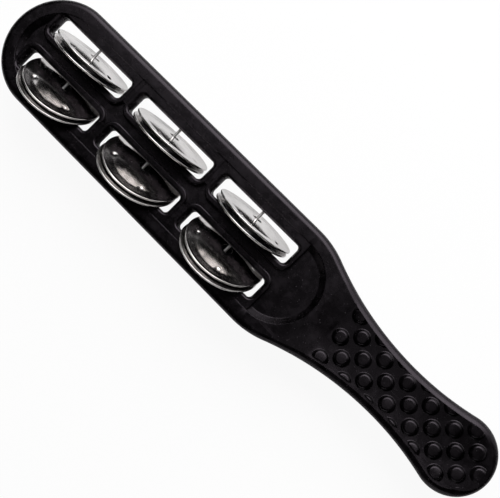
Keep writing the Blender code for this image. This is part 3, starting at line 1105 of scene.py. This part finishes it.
@dataclass
class StickBody:
    """The one-piece moulding: paddle, recess, collars, windows, ramp, hollow and studs."""

    plan: StickPlan
    studs: StudField
    finish: bpy.types.Material
    bore_radius: float = 0.0009
    head_bore_radius: float = 0.0014
    head_seat: float = 0.00095
    blind_wall: float = 0.0027
    bore_facets: int = 24
    edge_steps: int = 10
    rail_steps: int = 4
    collar_steps: int = 5
    collar_corner_steps: int = 10
    bridge_corner_steps: int = 2
    flare_steps: int = 14
    window_corner_steps: int = 8
    hollow_steps: int = 16
    smooth_angle: float = radians(17)

    def paddle(self) -> bpy.types.Object:
        """The outer form with its bullnose edge.

        Returns:
            The solid, which the other methods work on.
        """
        plan, bm = self.plan, bmesh.new()
        angles = quarter(self.edge_steps)
        back = [plan.edge_ring(a, -1) for a in reversed(angles)]
        rings = skin(bm, back + [plan.edge_ring(a, 1) for a in angles])
        cap_across(bm, rings[0])
        cap_across(bm, rings[-1])
        return add_mesh("stick_body_moulding", bm)

    def recess_tool(self) -> bpy.types.Object:
        """The recess of both faces with a cove at its floor and a softened upper edge.

        Returns:
            The solid to cut with.
        """
        plan, bm = self.plan, bmesh.new()
        bottom, lip = plan.web / 2, plan.half - plan.recess_lip
        stack = [(bottom + up, out - plan.recess_slope) for up, out in plan.cove_profile]
        stack += [(lip + up, out) for up, out in plan.lip_profile]
        stack += soft_edge(plan.half, plan.rail_edge, self.rail_steps)
        stack.append((plan.half + CUT_PAST, plan.rail_edge))
        for side in (1, -1):
            loft(bm, [plan.level(plan.recess(outset), side * z) for z, outset in stack])
        return add_mesh("recess_tool", bm)

    def collar_blocks(self) -> bpy.types.Object:
        """The six collars with softened edges, let a little way into the rails.

        Returns:
            The collars and the bridges between them.
        """
        plan, bm = self.plan, bmesh.new()
        half_length = plan.window_length / 2 + plan.collar_end_wall
        upper = soft_edge(plan.collar_half, plan.collar_edge, self.collar_steps)
        stack = [(-z, inset) for z, inset in reversed(upper)] + upper
        hidden = plan.collar_hidden_corner
        for column, row in plan.windows():
            loops = []
            for z, inset in stack:
                x_range = about(plan.pin_x(column), half_length - inset)
                y_range = row.span(plan.centre_channel / 2 + inset, plan.collar_far)
                corner = plan.collar_corner - inset
                radii = (corner, corner, hidden, hidden)[:: row.value]
                outline = rounded_rectangle(x_range, y_range, radii, self.collar_corner_steps)
                loops.append(plan.level(outline, z))
            loft(bm, loops)
        blocks = add_mesh("collar_blocks", bm)
        work(blocks, self.bridges(), Join.ADD)
        plan.trim(blocks, plan.recess(MILLIMETRE / 2), plan.half)
        return blocks

    def bridges(self) -> bpy.types.Object:
        """Low bridges between the collars of a row, so that only a shallow valley shows there.

        Returns:
            The bridges as one solid.
        """
        plan, bm = self.plan, bmesh.new()
        reach = plan.pitch / 2 - plan.window_length / 2 - plan.collar_end_wall + plan.collar_edge
        radii, steps = [plan.bridge_corner] * 4, self.bridge_corner_steps
        for column in range(plan.columns - 1):
            x_range = about(plan.pin_x(column) + plan.pitch / 2, reach)
            for row in Row:
                y_range = row.span(plan.bridge_start, plan.collar_far)
                outline = rounded_rectangle(x_range, y_range, radii, steps)
                plan.slab(bm, outline, plan.collar_half - plan.bridge_drop)
        return add_mesh("collar_bridges", bm)

    def window_tool(self) -> bpy.types.Object:
        """The six windows, flared at both faces to leave rounded edges.

        Returns:
            The solid to cut with.
        """
        plan, bm = self.plan, bmesh.new()
        angles = quarter(self.flare_steps)
        flare = [(plan.collar_half * sin(a), *plan.window_flare(a)) for a in angles]
        flare.append((plan.collar_half + CUT_PAST, *plan.window_flare(pi / 2)))
        stack = [(-z, *grow) for z, *grow in reversed(flare[1:])] + flare
        for column, row in plan.windows():
            loops = []
            for z, end_grow, side_grow in stack:
                x_range = about(plan.pin_x(column), plan.window_length / 2 + end_grow)
                y_range = about(row.value * plan.window_middle, plan.window_width / 2 + side_grow)
                radii = [plan.window_corner + side_grow] * 4
                outline = rounded_rectangle(x_range, y_range, radii, self.window_corner_steps)
                loops.append(plan.level(outline, z))
            loft(bm, loops)
        return add_mesh("window_tool", bm)

    def grip_tool(self) -> bpy.types.Object:
        """What the ramp and the hollow take off both faces of the handle.

        Returns:
            The solid to cut with.
        """
        plan, bm = self.plan, bmesh.new()
        reach, top = plan.head_half + CUT_PAST, plan.half + 2 * CUT_PAST
        lines = [reach * (i / self.hollow_steps - 1) for i in range(2 * self.hollow_steps + 1)]
        flat, hollow = [plan.half] * len(lines), [plan.hollow(y) for y in lines]
        end = plan.length + CUT_PAST
        stations = ((plan.ramp_start, flat), (plan.grip_start, hollow), (end, hollow))
        for side in (1, -1):
            loops = []
            for from_tip, heights in stations:
                section = [*zip(lines, heights), (reach, top), (-reach, top)]
                x = plan.along(from_tip)
                loops.append([(x, y, plan.pin_height + side * z) for y, z in section])
            loft(bm, loops)
        return add_mesh("grip_tool", bm)

    def bore_tool(self) -> bpy.types.Object:
        """The blind bores of the pins.

        Returns:
            The solid to cut with.
        """
        plan, bm = self.plan, bmesh.new()
        top, seat = plan.head_half + MILLIMETRE, plan.head_half - self.head_seat
        end = self.blind_wall - plan.head_half
        big, small = self.head_bore_radius, self.bore_radius
        profile = ((0.0, top), (big, top), (big, seat), (small, seat), (small, end), (0.0, end))
        bore = add_mesh("bore", turned(profile, self.bore_facets))
        for column in range(plan.columns):
            add_copy(bm, bore.data, plan.pin_place(column))
        bpy.data.objects.remove(bore, do_unlink=True)
        return add_mesh("bore_tool", bm)

    def build(self) -> bpy.types.Object:
        """Make the moulding, dress it and set it on the stick.

        Returns:
            The moulding.
        """
        body = self.paddle()
        work(body, self.recess_tool(), Join.CUT)
        work(body, self.collar_blocks(), Join.ADD)
        work(body, self.window_tool(), Join.CUT)
        work(body, self.grip_tool(), Join.CUT)
        work(body, self.bore_tool(), Join.CUT)
        mark_faces(body, self.finish, 0)
        work(body, self.studs.build(self.finish), Join.ADD)
        self.soften(body)
        body.data.materials.clear()
        body.data.materials.append(self.finish)
        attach(body, "stick")
        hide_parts("stick_body")
        return body

    def soften(self, body: bpy.types.Object) -> None:
        """Clean the mesh, smooth its curved faces and keep the flat ones flat.

        Args:
            body: The moulding, with the faces of the studs in a slot of their own.
        """
        bm = bmesh.new()
        bm.from_mesh(body.data)
        bmesh.ops.remove_doubles(bm, verts=bm.verts, dist=WELD)
        bmesh.ops.dissolve_degenerate(bm, edges=bm.edges, dist=WELD)
        bare_edges = [edge for edge in bm.edges if not edge.link_faces]
        bmesh.ops.delete(bm, geom=bare_edges, context="EDGES")
        bare_points = [vert for vert in bm.verts if not vert.link_faces]
        bmesh.ops.delete(bm, geom=bare_points, context="VERTS")
        for edge in bm.edges:
            faces = edge.link_faces
            foot = len({face.material_index for face in faces}) > 1
            flat = len(faces) == 2 and edge.calc_face_angle(0.0) < self.smooth_angle
            edge.smooth = flat and not foot
        for face in bm.faces:
            face.smooth = True
            face.material_index = 0
        bm.to_mesh(body.data)
        bm.free()
        weighted = body.modifiers.new("flat_faces", "WEIGHTED_NORMAL")
        weighted.keep_sharp = True
        mesh = plain_mesh(body)
        body.modifiers.clear()
        body.data = mesh


@dataclass
class CrossPin:
    """A headed steel pin that carries two pairs of jingles."""

    plan: StickPlan
    finish: bpy.types.Material
    diameter: float = 0.0012
    head_diameter: float = 0.0022
    head_length: float = 0.0008
    head_proud: float = 0.00015
    head_round: float = 0.00018
    head_flat: float = 0.45
    head_dome: float = 0.00006
    neck_fillet: float = 0.0001
    end_round: float = 0.0004
    blind_wall: float = 0.003
    shank_rings: int = 24
    round_steps: int = 4
    facets: int = 28
    smooth_angle: float = radians(40)

    def profile(self) -> list[Point]:
        """Half section along the pin: a low domed head, a neck fillet, the shank and a round end.

        Returns:
            Points of radius and height.
        """
        top = self.plan.head_half + self.head_proud
        under, end = top - self.head_length, self.blind_wall - self.plan.head_half
        head, shank, dome = self.head_diameter / 2, self.diameter / 2, self.head_dome
        points: list[Point] = [(0.0, top), (head * self.head_flat, top - dome / 2)]
        rim = soft_edge(head, self.head_round, self.round_steps)
        points += [(radius, top - dome - drop) for radius, drop in rim]
        points += [(head, under + dome), (head - dome, under)]
        points += [(shank + self.neck_fillet, under), (shank, under - self.neck_fillet)]
        rings = self.shank_rings
        points += [(shank, under + (end - under) * i / rings) for i in range(1, rings)]
        tail = soft_edge(0.0, self.end_round, self.round_steps)
        points += [(shank - inset, end - low) for low, inset in tail]
        points.append((0.0, end))
        return points

    def build(self, column: int) -> bpy.types.Object:
        """Make one pin and set it in the stick.

        Args:
            column: Its column, from 0 at the tip.

        Returns:
            The pin.
        """
        bm = turned(self.profile(), self.facets)
        bmesh.ops.transform(bm, matrix=self.plan.pin_place(column), verts=bm.verts)
        pin = add_mesh(f"cross_pin_{column + 1}", bm)
        pin.data.materials.append(self.finish)
        pin.data.shade_smooth()
        pin.data.set_sharp_from_angle(angle=self.smooth_angle)
        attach(pin, "stick")
        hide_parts(f"jingle_pin_{column + 1}")
        return pin


@dataclass(frozen=True)
class Hang:
    """How the jingles of one row and half hang: their lean, and by column their turn in degrees."""

    row: Row
    half: Half
    lean: float
    phases: Place


@dataclass
class JingleSet:
    """Twelve pressed jingles, each a thin sheet with a low dome, a flat flange and four dimples.

    The bands are spans of distance in from the rim: where the bead dies out, and where the bright
    rim of the inner face ends and painted shade, a near-black colour for the dark gap between the
    pair, takes over.
    """

    plan: StickPlan
    finish: bpy.types.Material
    diameter: float = 0.0361
    sheet: float = 0.0005
    hole: float = 0.0045
    dome: float = 0.0276
    dome_height: float = 0.0009
    dome_blend: float = 0.00006
    dimple_circle: float = 0.0264
    dimple_radius: float = 0.00165
    dimple_depth: float = 0.00042
    dimples: int = 4
    waver: float = 0.00003
    waver_lobes: float = 3.0
    rim_bead: float = 0.45
    bead_band: Point = (0.0004, 0.0013)
    painted_shade_band: Point = (0.0034, 0.0044)
    marks_apart: float = 0.05
    pin_diameter: float = 0.0012
    seat_gap: float = 0.0003
    around: int = 216
    across: int = 97
    hangs: tuple[Hang, ...] = (
        Hang(Row.RIGHT, Half.UPPER, radians(10.7), (-24, -8, -18)),
        Hang(Row.RIGHT, Half.LOWER, radians(12.9), (29, 12, 33)),
        Hang(Row.LEFT, Half.UPPER, radians(36.5), (44, 35, 21)),
        Hang(Row.LEFT, Half.LOWER, radians(34.5), (38, 61, 42)),
    )

    def drop(self, lean: float) -> float:
        """How far the hole's centre lies below the pin, in the jingle's plane."""
        reach = self.pin_diameter / 2 / cos(lean) + self.sheet / 2 * tan(lean)
        return self.hole / 2 - reach - self.seat_gap

    def pressed(self, seed: int, phase: float) -> bpy.types.Mesh:
        """One jingle, flat on its own axes with its dome up, made by a rule.

        Args:
            seed: Number that sets its marks apart from the others'.
            phase: Turn of its dimples.

        Returns:
            The mesh.
        """
        sizes = {
            "rim": self.diameter / 2,
            "hole": self.hole / 2,
            "dome": self.dome / 2,
            "dome height": self.dome_height,
            "half sheet": self.sheet / 2,
            "dimple circle": self.dimple_circle / 2,
            "dimple radius": self.dimple_radius,
            "dimple depth": self.dimple_depth,
            "phase": phase,
            "waver": self.waver,
            "seed": float(seed),
        }
        rule = GeometryRule(f"jingle_rule_{seed}", sizes)
        sheet, size = rule.sheet, rule.size
        rim, hole, half_sheet = size("rim"), size("hole"), size("half sheet")
        counts = {"Vertices X": self.around + 1, "Vertices Y": self.across}
        counts |= {"Size X": 1.0, "Size Y": 1.0}
        made = sheet.wire("GeometryNodeMeshGrid", {}, counts, "Mesh")
        spot = sheet.wire("GeometryNodeInputPosition")
        spread, run = sheet.wires("ShaderNodeSeparateXYZ", {}, {0: spot}, (0, 1))
        turn = (spread + 0.5) * FULL_TURN
        side = run.step("SIGN") * -1.0
        out = (1.0 - (run * 2.0).step("ABSOLUTE")) * pi
        share = 0.5 - 0.5 * out.step("COSINE")
        radius = hole + (rim - hole) * share
        depth, square, hole_square = rim - radius, radius * radius, hole * hole
        dome, dome_height = size("dome"), size("dome height")
        fall = dome_height * (square - hole_square) / (dome * dome - hole_square)
        middle = fall.step("SMOOTH_MIN", dome_height, self.dome_blend) * -1.0
        bulge = self.rounded(depth, half_sheet) * self.rounded(radius - hole, half_sheet)
        part, circle = FULL_TURN / self.dimples, size("dimple circle")
        fold = (turn - size("phase") + part / 2).step("FLOORED_MODULO", part) - part / 2
        far = (square + circle * circle - 2.0 * radius * circle * fold.step("COSINE")) ** 0.5
        dip = (far / size("dimple radius")).ease(0.1, 1.0, 1.0, 0.0) * size("dimple depth")
        wave = (turn * self.waver_lobes + size("seed")).step("SINE") * size("waver") * share
        bead = depth.ease(*self.bead_band, 1.0 + self.rim_bead, 1.0)
        height = middle + wave - dip + side * half_sheet * bulge * bead
        x, y = radius * turn.step("COSINE"), radius * turn.step("SINE")
        # Painted shade: "inside" is 1 on the inner face past the bright rim, where the nickel
        # finish paints near black for the shade of the gap between the pair; the dimple bumps are
        # left out and stay bright.
        pressed_in = (dip / size("dimple depth")).ease(0.15, 0.7, 1.0, 0.1)
        inside = (side * bulge * -1.0).ease(0.8, 1.0) * (depth.ease(*self.painted_shade_band) * pressed_in)
        marks = {
            "plate": rule.vector(x, y, height + size("seed") * self.marks_apart),
            "inside": rule.vector(inside, 0.0, 0.0),
        }
        store = {"data_type": "FLOAT_VECTOR", "domain": "POINT"}
        for name, value in marks.items():
            inputs = {"Geometry": made, "Name": name, "Value": value}
            made = sheet.wire("GeometryNodeStoreNamedAttribute", store, inputs)
        inputs = {"Geometry": made, "Position": rule.vector(x, y, height)}
        made = sheet.wire("GeometryNodeSetPosition", {}, inputs)
        inputs = {"Geometry": made, "Distance": WELD}
        made = sheet.wire("GeometryNodeMergeByDistance", {}, inputs)
        return rule.mesh(made, self.finish)

    @staticmethod
    def rounded(depth: Wire, half_sheet: Wire) -> Wire:
        """Share of the half thickness at a depth from a rounded edge.

        Args:
            depth: Distance from the edge.
            half_sheet: Half the sheet, which is also the edge's radius.

        Returns:
            0 at the edge, and 1 from the radius on.
        """
        short = 1.0 - (depth / half_sheet).step("MINIMUM", 1.0)
        inside = 1.0 - short * short
        return inside.step("MAXIMUM", 0.0) ** 0.5

    def build(self, column: int) -> Iterator[bpy.types.Object]:
        """Make the four jingles of a column and hang them.

        Args:
            column: Their column, from 0 at the tip.

        Yields:
            Each jingle.
        """
        joints = {joint["name"]: joint for joint in frame["joints"]}
        for number, hang in enumerate(self.hangs):
            key = f"{hang.row.name.lower()}_{hang.half.name.lower()}"
            pivot = Vector(joints[f"{key}_rock_{column + 1}"]["pos_m"])
            seed = column * len(self.hangs) + number + 1
            mesh = self.pressed(seed, radians(hang.phases[column]))
            up = -hang.half.value
            slide = Matrix.Translation((0, -up * self.drop(hang.lean), 0))
            lean = Matrix.Rotation(hang.lean + up * pi / 2, 4, "X")
            mesh.transform(Matrix.Translation(pivot) @ lean @ slide)
            bm = bmesh.new()
            bm.from_mesh(mesh)
            bmesh.ops.recalc_face_normals(bm, faces=bm.faces)
            bm.to_mesh(mesh)
            bm.free()
            mesh.shade_smooth()
            jingle = add_object(f"pressed_jingle_{key}_{column + 1}", mesh)
            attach(jingle, f"{key}_jingle_{column + 1}")
            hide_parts(f"jingle_{key}_{column + 1}")
            yield jingle


@dataclass(frozen=True)
class PhotoCamera:
    """The camera of the photograph: above the stick, tipped a little towards the handle."""

    distance: float = 0.3939
    tilt: float = radians(9.29)
    focal_pixels: float = 1018.0
    aim_from_tip: float = 0.13417
    aim_y: float = -0.0001
    nearest: float = 0.01

    def build(self, plan: StickPlan) -> bpy.types.Object:
        """Place the camera and make it the scene's own.

        Args:
            plan: The moulding, which gives the point that is looked at.

        Returns:
            The camera.
        """
        lens = bpy.data.cameras.new("photo_camera")
        lens.sensor_fit = "HORIZONTAL"
        lens.sensor_width = SENSOR_WIDTH
        lens.lens = self.focal_pixels * SENSOR_WIDTH / PHOTO_WIDTH
        lens.clip_start = self.nearest
        back = Vector((sin(self.tilt), 0, cos(self.tilt)))
        down = Vector((cos(self.tilt), 0, -sin(self.tilt)))
        side = Vector((0, 1, 0))
        right, up = (down + side).normalized(), (side - down).normalized()
        aim = Vector((plan.along(self.aim_from_tip), self.aim_y, plan.pin_height))
        place = Matrix((right, up, back)).transposed().to_4x4()
        place.translation = aim + back * self.distance
        camera = add_object("photo_camera", lens)
        camera.matrix_world = place
        bpy.context.scene.camera = camera
        return camera


@dataclass(frozen=True)
class Softbox:
    """One soft white studio lamp."""

    name: str
    place: Place
    aim: Place
    width: float
    depth: float
    power: float

    def build(self) -> bpy.types.Object:
        """Hang the lamp.

        Returns:
            The lamp.
        """
        lamp = bpy.data.lights.new(self.name, "AREA")
        lamp.shape = "RECTANGLE"
        lamp.size, lamp.size_y = self.width, self.depth
        lamp.energy = self.power
        made = add_object(self.name, lamp)
        look = (Vector(self.aim) - Vector(self.place)).to_track_quat("-Z", "Y")
        made.matrix_world = Matrix.Translation(self.place) @ look.to_matrix().to_4x4()
        return made


@dataclass
class Studio:
    """The white floor, the soft lamps and the dim room round them."""

    floor_finish: bpy.types.Material
    floor_size: float = 6.0
    floor_squares: int = 12
    room_light: float = 0.01
    lamps: tuple[Softbox, ...] = (
        Softbox("window_side_lamp", (-0.27, 0.56, 0.66), (0.0, 0.0, 0.02), 0.62, 0.7, 5.1),
        Softbox("window_side_halo", (-0.276, 0.575, 0.676), (0.0, 0.0, 0.02), 1.0, 0.86, 4.5),
        Softbox("handle_lamp", (0.18, 0.56, 0.66), (0.1, 0.0, 0.02), 0.36, 0.7, 2.3),
        Softbox("top_lamp", (-0.12, 0.15, 0.85), (-0.12, 0.15, 0.0), 0.8, 0.24, 0.2),
        Softbox("grip_top_lamp", (0.085, -0.13, 0.82), (0.085, -0.13, 0.0), 0.14, 0.3, 0.08),
        Softbox("right_strip", (0.08, 0.72, 0.25), (0.08, 0.0, 0.02), 1.5, 0.44, 2.6),
        Softbox("grip_strip", (0.38, -0.58, 0.14), (0.09, 0.0, 0.02), 0.5, 0.24, 0.4),
    )

    def floor(self) -> bpy.types.Object:
        """A large flat board at height 0, under the stick.

        Returns:
            The board.
        """
        bm, squares = bmesh.new(), self.floor_squares
        bmesh.ops.create_grid(bm, x_segments=squares, y_segments=squares, size=self.floor_size / 2)
        board = add_mesh("studio_floor", bm)
        if board.data.polygons[0].normal.z < 0:
            board.data.flip_normals()
        board.data.materials.append(self.floor_finish)
        return board

    def room(self) -> None:
        """Light the room evenly, and show it white to the camera."""
        world = bpy.data.worlds.new("studio_room")
        bpy.context.scene.world = world
        world.use_nodes = True
        sheet = NodeSheet(world.node_tree)
        seen = sheet.wire("ShaderNodeLightPath", output="Is Camera Ray")
        strength = self.room_light + seen * (1.0 - self.room_light)
        sky = sheet.wire("ShaderNodeBackground", {}, {"Color": WHITE, "Strength": strength})
        sheet.node("ShaderNodeOutputWorld", {}, {"Surface": sky})

    def build(self) -> None:
        """Set up the floor, the room and the lamps."""
        self.floor()
        self.room()
        for lamp in self.lamps:
            lamp.build()


def main() -> None:
    """Build the stick's pieces and the studio round them."""
    logging.basicConfig(level=logging.INFO, format="%(name)s: %(message)s")
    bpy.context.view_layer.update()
    bpy.context.scene.view_settings.view_transform = "Standard"
    plan = StickPlan(pin_height=frame["joints"][0]["pos_m"][2])
    body = StickBody(plan, StudField(plan), BlackPlastic().material()).build()
    LOG.info("%s: %d faces", body.name, len(body.data.polygons))
    pins = CrossPin(plan, PinSteel().material())
    jingles = JingleSet(plan, NickelPlate().material())
    for column in range(plan.columns):
        LOG.info("%s", pins.build(column).name)
        for jingle in jingles.build(column):
            LOG.info("%s: %d faces", jingle.name, len(jingle.data.polygons))
    PhotoCamera().build(plan)
    Studio(PaleFloor().material()).build()


if __name__ == "__main__":
    main()
